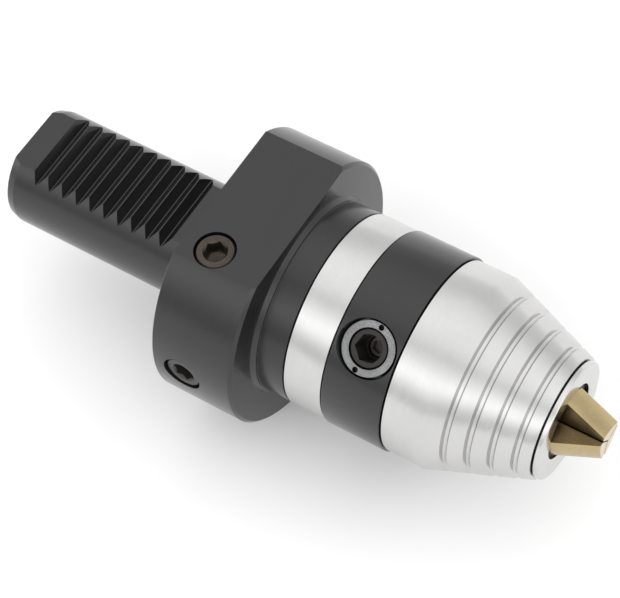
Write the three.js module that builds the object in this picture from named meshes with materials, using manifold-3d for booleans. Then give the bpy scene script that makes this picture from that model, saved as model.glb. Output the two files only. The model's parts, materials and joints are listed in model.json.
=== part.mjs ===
// Key-operated drill chuck on a 30 mm toothed tool-holder shank.
// Frame: millimetres. The chuck axis is X, nose towards +X, shank towards -X.
// Origin: centre of the flange's contact face. +Z is the normal of the flat on flange and shank.
import * as THREE from 'three';
import { mergeVertices } from 'three/addons/utils/BufferGeometryUtils.js';
import Module from 'manifold-3d';

const wasm = await Module();
wasm.setup();

// ---------- driving dimensions ----------
const GAP = 0.3; // running or seating clearance
const SEG = 36; // facets around large turned pieces
const SEG_SMALL = 20; // facets around small turned pieces

// Shank and flange
const SHANK_R = 15;
const SHANK_L = 57.4;
const SHANK_END_BEVEL = 2.2; // axial length of the bevel at the rear end
const SHANK_END_DROP = 0.55; // radial size of the same bevel
const SHANK_FLAT_Z = 12.2;
const RACK_ROOT_Z = 10.0;
const RACK_PITCH = 4.1;
const RACK_COUNT = 10;
const RACK_FIRST_X = -49.2;
const RACK_FLANK_REAR = 1.6;
const RACK_FLANK_FRONT = 2.2;
const FLANGE_R = 34;
const FLANGE_T = 21.8;
const FLANGE_FLAT_Z = FLANGE_R - 6.1;
const FLANGE_CHAMFER = 0.75;
const FLANGE_EDGE = 0.15; // bevel at the contact face
const SEAL_GROOVE_IN = 16.9;
const SEAL_GROOVE_OUT = 19.7;
const SEAL_GROOVE_D = 2.2;
const CENTRE_BORE_R = 1.9; // centre drilling that vents the stem chamber

// Plugs in the flange
const PLUG_R = 4.7;
const PLUG_HOLE_R = PLUG_R + GAP;
const PLUG_DEPTH = 8;
const PLUG_KEY = 5; // hexagon across flats
const TOP_PLUG_X = 8.1;
const TOP_PLUG_Y = -14.4;
const SIDE_PLUG_X = 7.9;
const SIDE_PLUG_ANGLE = 178; // degrees from +Y towards +Z
const TOP_PLUG_SINK = 0.3; // depth of the plug's face under the flat
const SIDE_PLUG_SINK = 0.8; // depth of the plug's face under the rim

// Spindle thread, crown wheel and thrust bearing: radii
const THREAD_PITCH = 3;
const THREAD_R = 6.0;
const THREAD_ROOT_R = THREAD_R - 1.3;
const SPINDLE_HUB_R = THREAD_R + 1.6;
const PINION_TEETH = 10;
const CROWN_TEETH = 24;
const GEAR_FACE = 3.7; // radial width of the crown's teeth
const GEAR_IN = SPINDLE_HUB_R + 0.7;
const GEAR_OUT = GEAR_IN + GEAR_FACE; // radius of the crown pitch circle at the outer end of the teeth
const BALL_R = 1.5;
const BALL_COUNT = 12;
const RACE_IN = THREAD_R + 2.5;
const BALL_CIRCLE_R = RACE_IN + BALL_R + 2.2;

// Neck, clamp ring, gear housing: radii
const RACE_OUT = BALL_CIRCLE_R + BALL_R + 2.2;
const CHAMBER_R = RACE_OUT + 0.7;
const SPIGOT_R = CHAMBER_R + 1.4;
const SKIRT_R = SPIGOT_R + 2.9;
const RING_WALL = 3.7;
const RING_R = SKIRT_R + RING_WALL;
const NECK_R = RING_R;
const HOUSING_R = RING_R + 0.25;

// Bore of the key pinion in the housing, with the nut's counterbore
const PITCH_OUT = (GEAR_OUT * PINION_TEETH) / CROWN_TEETH; // pinion pitch radius at the outer end
const PINION_BORE_R = PITCH_OUT + 1.25;
const PINION_JOURNAL_R = PINION_BORE_R - GAP;
const NUT_R = PINION_BORE_R + 0.3;
const NUT_HOLE_R = NUT_R - 1.8;
const NUT_BORE_R = NUT_R + GAP;
const NUT_MOUTH_R = NUT_BORE_R + 0.5; // radius of the countersink at the housing's surface

// Neck, clamp ring, gear housing along the axis
const STEP_X = FLANGE_T + 1.2; // front of the low step between flange and neck
const NECK_END_X = FLANGE_T + 8.1;
const RING_START_X = NECK_END_X + GAP;
const RING_END_X = RING_START_X + 9.9;
const SPIGOT_END_X = RING_END_X - 0.5;
const HOUSING_START_X = RING_END_X + GAP;
const HOUSING_W = 2 * NUT_MOUTH_R + 0.8;
const HOUSING_END_X = HOUSING_START_X + HOUSING_W;
const PARTITION_X = HOUSING_END_X - 1.7;

// Key pinion and crown wheel (bevel pair, shafts at 90 degrees)
const PINION_X = HOUSING_START_X + NUT_MOUTH_R + 0.6;
const PINION_ANGLE = 129; // degrees from +Y towards +Z
const NUT_TOP = HOUSING_R - 1.15;
const NUT_BOTTOM = NUT_TOP - 3.0;
const SPANNER_HOLE_R = 0.7;
const SPANNER_CIRCLE_R = NUT_R - 0.8;
const SPANNER_ANGLE = 100.5; // degrees from the chuck axis
const PINION_HEAD_R = NUT_HOLE_R - GAP;
const PINION_HEAD_TOP = NUT_TOP - 0.3;
const KEY_AF = 6; // hexagon across flats for the key
const KEY_TURN = 11; // degrees that the key hexagon is turned at rest
const KEY_DEPTH = 6.4;
const SCREW_R = 2.3;
const SCREW_L = 3;
const SCREW_AF = 3;

// Spindle and thrust bearing along the axis
const BALL_X = RING_START_X + BALL_R + 2.4;
const RACE_REAR_BACK = BALL_X - BALL_R - 1.7;
const RACE_FRONT_BACK = BALL_X + BALL_R + 1.7;
const RACE_STAND_OFF = BALL_R - 0.3; // distance from the ball centres to each race's face
const SPINDLE_REAR_X = RACE_REAR_BACK + GAP;
const SPINDLE_FRONT_X = HOUSING_END_X + GAP;
const SPINDLE_FLANGE_X = RACE_FRONT_BACK + GAP;
const SPINDLE_FLANGE_R = RACE_OUT - 1.5;

// Nose
const SLEEVE_START_X = HOUSING_END_X + GAP;
const SLEEVE_R = HOUSING_R - 0.45;
const SLEEVE_BORE_R = SLEEVE_R - 2.2;
const CONE_START_X = SLEEVE_START_X + 9.6;
const CONE_SLOPE = 0.374;
const SLEEVE_END_X = SLEEVE_START_X + 33.4;
const SLEEVE_WALL = 1.9;
const GROOVE_COUNT = 4;
const GROOVE_FIRST_X = CONE_START_X + 5.5;
const GROOVE_PITCH = 5;
const GROOVE_W = 1.5;
const GROOVE_D = 0.8;
const CAP_START_X = SLEEVE_END_X + 0.6;
const CAP_END_X = CAP_START_X + 1.1;
const CAP_REACH = 0.7; // length of the cap's collar behind the sleeve's end
const CAP_HOLE_R = 9.5;
const CAP_COLLAR_R = 12.2;

// Jaws
const JAW_ANGLES = [67.4, 187.4, 307.4]; // degrees from +Y towards +Z
const JAW_TILT = 23.5; // degrees between a jaw's slide and the chuck axis
const MAX_DRILL = 13;
const tilt = THREE.MathUtils.degToRad(JAW_TILT);
const TRAVEL_X = MAX_DRILL / 2 / Math.tan(tilt); // axial travel of the carrier
const JAW_TIP_X = CAP_END_X + 9.9;
const JAW_HALF_W = 3.65;
const JAW_TIP_R = 3.2; // outer corner radius at the tip
const JAW_CROWN = 0.4;
const JAW_INNER = -6; // depth of the jaw's inner side, measured square to the slide
const JAW_REAR_X = SLEEVE_START_X + TRAVEL_X + 6.55;
const JAW_TRIM_R = 14.0;
const JAW_VEE_GAP = 0.15;

// Carrier that pushes the jaws
const CARRIER_FRONT_X = JAW_REAR_X - GAP;
const CARRIER_REAR_X = CARRIER_FRONT_X - 5.8;
const CARRIER_R = 16.0;
const STEM_REAR_X = CARRIER_REAR_X - 30.4;
const TAIL_IN_R = 6.9;
const TAIL_OUT_R = (JAW_TIP_X - JAW_REAR_X - 0.5) * Math.tan(tilt) + JAW_TIP_R - 0.4;
const TAIL_HEAD_X = JAW_REAR_X - 4.5; // rear end of a jaw's T head
const TAIL_NECK_X = JAW_REAR_X - 2.5; // shoulder between T head and neck
const TAIL_HEAD_W = 3.5;
const TAIL_NECK_W = 1.8;

const STEM_CHAMBER_X = STEM_REAR_X - TRAVEL_X - 4.25; // bottom of the blind bore for the carrier's stem

// ---------- geometry helpers ----------
function toSolid(geometry) {
  let g = geometry.clone();
  g.deleteAttribute('normal');
  g.deleteAttribute('uv');
  g = mergeVertices(g, 1e-4);
  const pos = g.attributes.position.array;
  const tris = [];
  let volume = 0;
  const a = new THREE.Vector3();
  const b = new THREE.Vector3();
  const c = new THREE.Vector3();
  for (let i = 0; i < g.index.count; i += 3) {
    const [p, q, r] = [g.index.getX(i), g.index.getX(i + 1), g.index.getX(i + 2)];
    if (p === q || q === r || r === p) continue;
    tris.push([p, q, r]);
    a.fromArray(pos, p * 3);
    b.fromArray(pos, q * 3);
    c.fromArray(pos, r * 3);
    volume += a.dot(b.cross(c));
  }
  const ordered = volume < 0 ? tris.map(([p, q, r]) => [p, r, q]) : tris;
  const mesh = new wasm.Mesh({
    numProp: 3,
    vertProperties: Float32Array.from(pos),
    triVerts: Uint32Array.from(ordered.flat()),
  });
  return new wasm.Manifold(mesh);
}

function toGeometry(solid) {
  const mesh = solid.getMesh();
  const g = new THREE.BufferGeometry();
  g.setAttribute('position', new THREE.BufferAttribute(Float32Array.from(mesh.vertProperties), 3));
  g.setIndex(new THREE.BufferAttribute(Uint32Array.from(mesh.triVerts), 1));
  g.computeVertexNormals();
  return g;
}

const X_AXIS = new THREE.Matrix4().makeRotationZ(-Math.PI / 2); // turns +Y into +X

// Turned piece around X. The profile is a list of [x, radius], closed by itself or by the axis.
function turned(profile, segments = SEG) {
  const onAxis = profile[0][1] === 0 && profile.at(-1)[1] === 0;
  const points = profile.map(([x, r]) => new THREE.Vector2(r, x));
  if (!onAxis) points.push(points[0].clone());
  return toSolid(new THREE.LatheGeometry(points, segments).applyMatrix4(X_AXIS));
}

// Matrix that carries local X, Y, Z to the given directions at the given origin.
function frame(origin, xDir, yDir) {
  const zDir = new THREE.Vector3().crossVectors(xDir, yDir);
  return new THREE.Matrix4().makeBasis(xDir, yDir, zDir).setPosition(origin);
}

const EX = new THREE.Vector3(1, 0, 0);

function radial(degrees) {
  const angle = THREE.MathUtils.degToRad(degrees);
  return new THREE.Vector3(0, Math.cos(angle), Math.sin(angle));
}

// Frame of a radial bore: local Y points outwards, local X stays along the chuck axis.
function radialFrame(x, degrees, y = 0) {
  return frame(new THREE.Vector3(x, y, 0), EX, radial(degrees));
}

// Turned piece around local Y, profile of [height, radius], placed by a matrix.
function turnedAt(profile, matrix, segments = SEG_SMALL) {
  const onAxis = profile[0][1] === 0 && profile.at(-1)[1] === 0;
  const points = profile.map(([h, r]) => new THREE.Vector2(r, h));
  if (!onAxis) points.push(points[0].clone());
  return toSolid(new THREE.LatheGeometry(points, segments).applyMatrix4(matrix));
}

function rod(radius, from, to, matrix, segments = SEG_SMALL) {
  return turnedAt([[from, 0], [from, radius], [to, radius], [to, 0]], matrix, segments);
}

function rodX(radius, from, to, segments = SEG_SMALL) {
  return turned([[from, 0], [from, radius], [to, radius], [to, 0]], segments);
}

function hexagon(acrossFlats, from, to, matrix) {
  const radius = acrossFlats / Math.sqrt(3);
  const g = new THREE.CylinderGeometry(radius, radius, to - from, 6);
  g.translate(0, (from + to) / 2, 0);
  return toSolid(g.applyMatrix4(matrix));
}

function box(x0, x1, y0, y1, z0, z1) {
  const g = new THREE.BoxGeometry(x1 - x0, y1 - y0, z1 - z0);
  g.translate((x0 + x1) / 2, (y0 + y1) / 2, (z0 + z1) / 2);
  return toSolid(g);
}

// Prism: outline in local X and Y, extruded along local Z, placed by a matrix.
function prism(outline, from, to, matrix = new THREE.Matrix4()) {
  const shape = new THREE.Shape(outline.map(([x, y]) => new THREE.Vector2(x, y)));
  const g = new THREE.ExtrudeGeometry(shape, { depth: to - from, bevelEnabled: false });
  g.translate(0, 0, from);
  return toSolid(g.applyMatrix4(matrix));
}

function union(...solids) {
  return solids.reduce((sum, solid) => sum.add(solid));
}

function cut(solid, ...tools) {
  return tools.reduce((rest, tool) => rest.subtract(tool), solid);
}

// Closed skin between rings of equal length, with a centre point closing each end.
function loft(rings, startCentre, endCentre) {
  const n = rings[0].length;
  const vertices = rings.flat().concat([startCentre, endCentre]);
  const start = rings.length * n;
  const index = [];
  for (let k = 0; k < n; k++) {
    const next = (k + 1) % n;
    for (let j = 0; j < rings.length - 1; j++) {
      const [a, b, c, d] = [j * n + k, j * n + next, (j + 1) * n + next, (j + 1) * n + k];
      index.push(a, b, c, a, c, d);
    }
    const last = (rings.length - 1) * n;
    index.push(start, next, k);
    index.push(start + 1, last + k, last + next);
  }
  const g = new THREE.BufferGeometry().setFromPoints(vertices);
  g.setIndex(index);
  return toSolid(g);
}

// Helical thread around X as a solid rod: trapezoid profile, right-hand, trimmed square.
// The helix keeps its phase along X, so that two rods of one pitch lie in mesh.
function threadedRod(major, minor, pitch, from, to, widen = 0, segments = 12) {
  const profile = [[widen, minor], [0.28 - widen, minor], [0.45 - widen, major], [0.83 + widen, major]];
  const rings = [];
  const first = Math.floor(from / pitch) * pitch;
  const turns = Math.ceil((to - first) / pitch) + 3;
  for (let t = 0; t < turns; t++) {
    for (const [part, r] of profile) {
      const ring = [];
      for (let k = 0; k < segments; k++) {
        const angle = (2 * Math.PI * k) / segments;
        const x = first + pitch * (t - 2 + part + k / segments);
        ring.push([x, r, angle]);
      }
      rings.push(ring);
    }
  }
  // Rings are spirals: column k of ring i is followed, past the last column, by ring i + 4.
  const point = (i, k) => {
    const step = Math.floor(k / segments);
    const ring = rings[i + 4 * step];
    const [x, r, angle] = ring[k - step * segments];
    return new THREE.Vector3(x, r * Math.cos(angle), r * Math.sin(angle));
  };
  const usable = rings.length - 4;
  const vertices = [];
  const index = [];
  const id = new Map();
  const vertex = (i, k) => {
    const step = Math.floor(k / segments);
    const key = (i + 4 * step) * segments + (k - step * segments);
    if (!id.has(key)) {
      id.set(key, vertices.length);
      vertices.push(point(i, k));
    }
    return id.get(key);
  };
  for (let i = 0; i < usable - 1; i++) {
    for (let k = 0; k < segments; k++) {
      const [a, b, c, d] = [vertex(i, k), vertex(i, k + 1), vertex(i + 1, k + 1), vertex(i + 1, k)];
      index.push(a, b, c, a, c, d);
    }
  }
  // The end loops step along the seam, from ring 0 to ring 4 and from the last ring to four before.
  const startCentre = vertices.push(new THREE.Vector3(from - 3 * pitch, 0, 0)) - 1;
  const endCentre = vertices.push(new THREE.Vector3(to + 3 * pitch, 0, 0)) - 1;
  for (let k = 0; k < segments; k++) {
    index.push(startCentre, vertex(0, k + 1), vertex(0, k));
    index.push(endCentre, vertex(usable - 1, k), vertex(usable - 1, k + 1));
  }
  for (let i = 0; i < 4; i++) {
    index.push(startCentre, vertex(i, 0), vertex(i + 1, 0));
    index.push(endCentre, vertex(usable + i, 0), vertex(usable - 1 + i, 0));
  }
  const g = new THREE.BufferGeometry().setFromPoints(vertices);
  g.setIndex(index);
  return toSolid(g).intersect(rodX(major + 5, from, to, segments));
}

// Bevel gear around its own axis with the pitch-cone apex at the origin.
// Local Y is the gear axis; the teeth lie at positive Y, from GEAR_IN to GEAR_OUT along the mate.
function bevelGear(teeth, pitchAngle, outerR, scaleIn, thin, phase, backY) {
  const cos = Math.cos(pitchAngle);
  const sin = Math.sin(pitchAngle);
  const module = (2 * outerR) / teeth;
  const addendum = 0.8 * module;
  const dedendum = 1.15 * module;
  const virtualR = outerR / cos;
  const baseR = virtualR * Math.cos(THREE.MathUtils.degToRad(20));
  const involute = (r) => Math.sqrt(Math.max((r / baseR) ** 2 - 1, 0)) - Math.acos(Math.min(1, baseR / r));
  const half = (r) => {
    const pitchHalf = (Math.PI * module) / 4 / virtualR - thin / virtualR;
    return Math.max(pitchHalf + involute(virtualR) - involute(Math.max(r, baseR)), 0.15 / r);
  };
  const heights = [-dedendum, 0, addendum];
  const flank = heights.map((h) => [h, half(virtualR + h) / cos]);
  const ring = [];
  for (let i = 0; i < teeth; i++) {
    const centre = (2 * Math.PI * (i + phase)) / teeth;
    const side = (sign) => flank.map(([h, w]) => [h, centre + sign * w]);
    const outline = side(-1).concat(side(1).reverse());
    for (const [h, angle] of outline) {
      const r = outerR + h * cos;
      const y = (outerR * cos) / sin - h * sin;
      ring.push(new THREE.Vector3(r * Math.cos(angle), y, -r * Math.sin(angle)));
    }
  }
  const inner = ring.map((p) => p.clone().multiplyScalar(scaleIn));
  const innerY = inner.reduce((sum, p) => sum + p.y, 0) / inner.length;
  return loft([inner, ring], new THREE.Vector3(0, innerY, 0), new THREE.Vector3(0, backY, 0));
}

// ---------- materials and assembly ----------
const root = new THREE.Group();

function finish(color, roughness, metalness) {
  return new THREE.MeshStandardMaterial({ color, roughness, metalness });
}

const MATERIALS = {
  black: finish(0x47484a, 0.42, 0.75),
  bright: finish(0xc9c9c7, 0.25, 1),
  housing: finish(0x49494b, 0.45, 0.7),
  nut: finish(0x9a9c9c, 0.35, 1),
  dark: finish(0x3a3836, 0.4, 0.8),
  plug: finish(0x5d534c, 0.4, 0.9),
  gold: finish(0xc5ab74, 0.3, 1),
  gear: finish(0x8d8f92, 0.35, 1),
  bearing: finish(0xb9bbbd, 0.15, 1),
  brass: finish(0xb08b4a, 0.3, 1),
  rubber: finish(0x1a1a1a, 0.8, 0),
};

function place(name, solid, material) {
  const mesh = new THREE.Mesh(toGeometry(solid), MATERIALS[material]);
  mesh.name = name;
  root.add(mesh);
}

const pinionFrame = radialFrame(PINION_X, PINION_ANGLE);
const keyTurn = new THREE.Matrix4().makeRotationY(THREE.MathUtils.degToRad(KEY_TURN));
const keyFrame = pinionFrame.clone().multiply(keyTurn);
const sideFrame = radialFrame(SIDE_PLUG_X, SIDE_PLUG_ANGLE);
const topFrame = frame(new THREE.Vector3(TOP_PLUG_X, TOP_PLUG_Y, 0), EX, new THREE.Vector3(0, 0, 1));

// ---------- shank, flange and neck ----------
const bodyProfile = [
  [-SHANK_L + 2.2, 0],
  [-SHANK_L + 2.2, CENTRE_BORE_R],
  [-SHANK_L, CENTRE_BORE_R + 1.3],
  [-SHANK_L, SHANK_R - SHANK_END_DROP],
  [-SHANK_L + SHANK_END_BEVEL, SHANK_R],
  [0, SHANK_R],
  [0, SEAL_GROOVE_IN],
  [SEAL_GROOVE_D, SEAL_GROOVE_IN],
  [SEAL_GROOVE_D, SEAL_GROOVE_OUT],
  [0, SEAL_GROOVE_OUT],
  [0, FLANGE_R - FLANGE_EDGE],
  [FLANGE_EDGE, FLANGE_R],
  [FLANGE_T - FLANGE_CHAMFER, FLANGE_R],
  [FLANGE_T, FLANGE_R - FLANGE_CHAMFER],
  [FLANGE_T, NECK_R + 1.2],
  [STEP_X, NECK_R + 0.6],
  [STEP_X, NECK_R],
  [NECK_END_X, NECK_R],
  [NECK_END_X, SPIGOT_R],
  [SPIGOT_END_X, SPIGOT_R],
  [SPIGOT_END_X, CHAMBER_R - GAP],
  [RACE_REAR_BACK - GAP, CHAMBER_R - GAP],
  [RACE_REAR_BACK - GAP, THREAD_R + 0.6],
  [STEM_CHAMBER_X, THREAD_R + 0.6],
  [STEM_CHAMBER_X - 2, CENTRE_BORE_R],
  [STEM_CHAMBER_X - 3, 0],
];

function rackCutter() {
  const cutters = [];
  const wide = SHANK_R + 2;
  const across = frame(new THREE.Vector3(0, wide, 0), EX, new THREE.Vector3(0, 0, 1));
  const rise = 1.5;
  const k = (SHANK_FLAT_Z - RACK_ROOT_Z + rise) / (SHANK_FLAT_Z - RACK_ROOT_Z);
  const top = SHANK_FLAT_Z + rise;
  for (let i = 0; i < RACK_COUNT; i++) {
    const x = RACK_FIRST_X + i * RACK_PITCH;
    const outline = [
      [x, RACK_ROOT_Z],
      [x + RACK_FLANK_FRONT * k, top],
      [x - RACK_FLANK_REAR * k, top],
    ];
    cutters.push(prism(outline, 0, 2 * wide, across));
  }
  return union(...cutters);
}

const toolBody = cut(
  turned(bodyProfile),
  box(-SHANK_L - 5, 0, -FLANGE_R, FLANGE_R, SHANK_FLAT_Z, FLANGE_R),
  rackCutter(),
  box(-1, FLANGE_T, -FLANGE_R - 5, FLANGE_R + 5, FLANGE_FLAT_Z, FLANGE_R + 5),
  rodX(CENTRE_BORE_R, -SHANK_L - 5, STEM_CHAMBER_X - 1, SEG_SMALL),
  rod(PLUG_HOLE_R, FLANGE_FLAT_Z - PLUG_DEPTH - 1.2, FLANGE_FLAT_Z + 2, topFrame),
  rod(PLUG_HOLE_R, FLANGE_R - PLUG_DEPTH - 2.4, FLANGE_R + 2, sideFrame),
);
place('tool_body', toolBody, 'black');

function plug(frameMatrix, top, socket) {
  const blank = turnedAt(
    [[top - PLUG_DEPTH, 0], [top - PLUG_DEPTH, PLUG_R], [top - 0.4, PLUG_R], [top, PLUG_R - 0.4], [top, 0]],
    frameMatrix,
  );
  return cut(blank, hexagon(socket, top - 4, top + 1, frameMatrix));
}
place('flange_plug_top', plug(topFrame, FLANGE_FLAT_Z - TOP_PLUG_SINK, PLUG_KEY), 'plug');
place('flange_plug_side', plug(sideFrame, FLANGE_R - SIDE_PLUG_SINK, PLUG_KEY), 'dark');

// Ring of round section around X.
function ringX(x, centreR, sectionR, sides = 8, segments = SEG) {
  const profile = [];
  for (let i = 0; i < sides; i++) {
    const angle = (2 * Math.PI * (i + 0.5)) / sides;
    profile.push([x + sectionR * Math.cos(angle), centreR + sectionR * Math.sin(angle)]);
  }
  return turned(profile, segments);
}
const sealR = SEAL_GROOVE_D / 2 - 0.05;
place('flange_seal', ringX(sealR, (SEAL_GROOVE_IN + SEAL_GROOVE_OUT) / 2, sealR, 8), 'rubber');

// ---------- clamp ring and gear housing ----------
const clampRing = turned([
  [RING_START_X, SKIRT_R + GAP],
  [RING_START_X, RING_R - 0.2],
  [RING_START_X + 0.2, RING_R],
  [RING_END_X - 0.2, RING_R],
  [RING_END_X, RING_R - 0.2],
  [RING_END_X, SKIRT_R + GAP],
]);
place('clamp_ring', clampRing, 'bright');

const housingBlank = turned([
  [RING_START_X + 0.2, SPIGOT_R + GAP],
  [RING_START_X + 0.2, SKIRT_R],
  [HOUSING_START_X, SKIRT_R],
  [HOUSING_START_X, HOUSING_R - 0.25],
  [HOUSING_START_X + 0.25, HOUSING_R],
  [HOUSING_END_X - 0.25, HOUSING_R],
  [HOUSING_END_X, HOUSING_R - 0.25],
  [HOUSING_END_X, SLEEVE_BORE_R - GAP],
  [HOUSING_END_X + 2.6, SLEEVE_BORE_R - GAP],
  [HOUSING_END_X + 2.6, SLEEVE_BORE_R - 2],
  [HOUSING_END_X, SLEEVE_BORE_R - 2],
  [HOUSING_END_X, SPINDLE_HUB_R + 2.3],
  [PARTITION_X, SPINDLE_HUB_R + 2.3],
  [PARTITION_X, CHAMBER_R],
  [SPIGOT_END_X + GAP, CHAMBER_R],
  [SPIGOT_END_X + GAP, SPIGOT_R + GAP],
]);
const gearHousing = cut(
  housingBlank,
  rod(PINION_BORE_R, GEAR_IN + 0.7, HOUSING_R + 2, pinionFrame),
  turnedAt(
    [
      [NUT_BOTTOM - 0.2, 0],
      [NUT_BOTTOM - 0.2, NUT_BORE_R],
      [NUT_TOP - 0.1, NUT_BORE_R],
      [HOUSING_R - 0.1, NUT_MOUTH_R],
      [HOUSING_R + 2, NUT_MOUTH_R],
      [HOUSING_R + 2, 0],
    ],
    pinionFrame,
    SEG,
  ),
);
place('gear_housing', gearHousing, 'housing');

// ---------- key pinion ----------
const pinionCone = Math.atan(PINION_TEETH / CROWN_TEETH);
const crownCone = Math.PI / 2 - pinionCone;
const scaleIn = GEAR_IN / GEAR_OUT;
const THIN = 0.16; // each flank is relieved by this much so that the teeth never bind

const pinionGear = toSolid(
  toGeometry(bevelGear(PINION_TEETH, pinionCone, PITCH_OUT, scaleIn, THIN, 0.5, GEAR_OUT + 1.1))
    .applyMatrix4(pinionFrame),
);
const socketBottom = PINION_HEAD_TOP - KEY_DEPTH;
const screwBase = GEAR_OUT + 1.7;
const sealHeight = NUT_BOTTOM - 2.2;
const pinion = cut(
  union(
    pinionGear,
    turnedAt(
      [
        [GEAR_OUT + 0.75, 0],
        [GEAR_OUT + 0.75, PINION_JOURNAL_R - 0.3],
        [GEAR_OUT + 1.05, PINION_JOURNAL_R],
        [sealHeight - 0.75, PINION_JOURNAL_R],
        [sealHeight - 0.75, PINION_JOURNAL_R - 1.2],
        [sealHeight + 0.75, PINION_JOURNAL_R - 1.2],
        [sealHeight + 0.75, PINION_JOURNAL_R],
        [NUT_BOTTOM - GAP, PINION_JOURNAL_R],
        [NUT_BOTTOM - GAP, PINION_HEAD_R],
        [PINION_HEAD_TOP - 0.3, PINION_HEAD_R],
        [PINION_HEAD_TOP, PINION_HEAD_R - 0.3],
        [PINION_HEAD_TOP, 0],
      ],
      pinionFrame,
    ),
  ),
  hexagon(KEY_AF, socketBottom, NUT_TOP + 2, keyFrame),
  rod(SCREW_R + GAP, screwBase - GAP, socketBottom + 1, pinionFrame, 16),
);
place('drive_pinion', pinion, 'dark');

const pinionScrew = cut(
  rod(SCREW_R, screwBase, screwBase + SCREW_L, pinionFrame, 16),
  hexagon(SCREW_AF, screwBase + SCREW_L / 2, screwBase + SCREW_L + 1, keyFrame),
);
place('pinion_screw', pinionScrew, 'gear');

function ringY(height, centreR, sectionR, matrix, sides, segments) {
  const profile = [];
  for (let i = 0; i < sides; i++) {
    const angle = (2 * Math.PI * (i + 0.5)) / sides;
    profile.push([height + sectionR * Math.cos(angle), centreR + sectionR * Math.sin(angle)]);
  }
  return turnedAt(profile, matrix, segments);
}
place('pinion_seal', ringY(sealHeight, PINION_JOURNAL_R - 0.45, 0.45, pinionFrame, 6, SEG_SMALL), 'rubber');

// Ring nut over the pinion's shoulder, with two holes for a pin spanner.
const spannerHoles = [0, 180].map((half) => {
  const about = new THREE.Matrix4().makeRotationY(-THREE.MathUtils.degToRad(SPANNER_ANGLE + half));
  about.multiply(new THREE.Matrix4().makeTranslation(SPANNER_CIRCLE_R, 0, 0));
  return rod(SPANNER_HOLE_R, NUT_TOP - 1.6, NUT_TOP + 1, pinionFrame.clone().multiply(about), 12);
});
const ringNut = cut(
  turnedAt(
    [
      [NUT_BOTTOM, NUT_HOLE_R],
      [NUT_BOTTOM, NUT_R],
      [NUT_TOP - 0.2, NUT_R],
      [NUT_TOP, NUT_R - 0.2],
      [NUT_TOP, NUT_HOLE_R],
    ],
    pinionFrame,
    36,
  ),
  ...spannerHoles,
);
place('pinion_ring_nut', ringNut, 'nut');

// ---------- spindle with crown wheel, and its bush ----------
const crownOrigin = new THREE.Vector3(PINION_X, 0, 0);
const crownFrame = frame(crownOrigin, radial(PINION_ANGLE), new THREE.Vector3(-1, 0, 0));
const crownGear = toSolid(
  toGeometry(bevelGear(CROWN_TEETH, crownCone, GEAR_OUT, scaleIn, THIN, 0, PITCH_OUT + 1.15))
    .applyMatrix4(crownFrame),
);
const spindleBlank = turned(
  [
    [SPINDLE_REAR_X, 0],
    [SPINDLE_REAR_X, RACE_IN - GAP],
    [SPINDLE_FLANGE_X, RACE_IN - GAP],
    [SPINDLE_FLANGE_X, SPINDLE_FLANGE_R],
    [PINION_X - PITCH_OUT - 2.3, SPINDLE_FLANGE_R],
    [PINION_X - PITCH_OUT - 1.6, GEAR_OUT + 0.2],
    [PINION_X - PITCH_OUT - 1.0, GEAR_OUT - 0.9],
    [PINION_X - PITCH_OUT - 0.9, SPINDLE_HUB_R],
    [SPINDLE_FRONT_X, SPINDLE_HUB_R],
    [SPINDLE_FRONT_X, 0],
  ],
  40,
);
const nutThread = threadedRod(
  THREAD_R + 0.25,
  THREAD_ROOT_R + 0.25,
  THREAD_PITCH,
  SPINDLE_FLANGE_X - 0.6,
  SPINDLE_FRONT_X + 1,
  0.05,
);
const spindle = cut(
  union(spindleBlank, crownGear),
  nutThread,
  rodX(THREAD_R + 0.4, SPINDLE_REAR_X - 1, SPINDLE_FLANGE_X + 0.6),
);
place('spindle', spindle, 'gear');

const bush = turned(
  [
    [PARTITION_X + 0.2, SPINDLE_HUB_R + GAP],
    [PARTITION_X + 0.2, SPINDLE_HUB_R + 2],
    [HOUSING_END_X, SPINDLE_HUB_R + 2],
    [HOUSING_END_X, SPINDLE_HUB_R + GAP],
  ],
  SEG_SMALL,
);
place('spindle_bush', bush, 'brass');

// ---------- thrust bearing ----------
const GROOVE_R = BALL_R + GAP;

function race(backX, faceX) {
  const towards = Math.sign(BALL_X - faceX);
  const halfAngle = Math.acos(Math.abs(BALL_X - faceX) / GROOVE_R);
  const arc = [-1, -0.35, 0.35, 1].map((t) => {
    const angle = t * halfAngle;
    return [BALL_X - towards * GROOVE_R * Math.cos(angle), BALL_CIRCLE_R - GROOVE_R * Math.sin(angle)];
  });
  return turned([[backX, RACE_IN], [backX, RACE_OUT], [faceX, RACE_OUT], ...arc, [faceX, RACE_IN]], 40);
}
place('race_rear', race(RACE_REAR_BACK, BALL_X - RACE_STAND_OFF), 'bearing');
const outerRim = cut(
  rodX(RACE_OUT + 1, BALL_X - 4, BALL_X + 6, 40),
  rodX(RACE_OUT - 0.5, BALL_X - 5, BALL_X + 7, 40),
);
const frontRace = cut(race(RACE_FRONT_BACK, BALL_X + RACE_STAND_OFF), outerRim);
place('race_front', frontRace, 'bearing');

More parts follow.
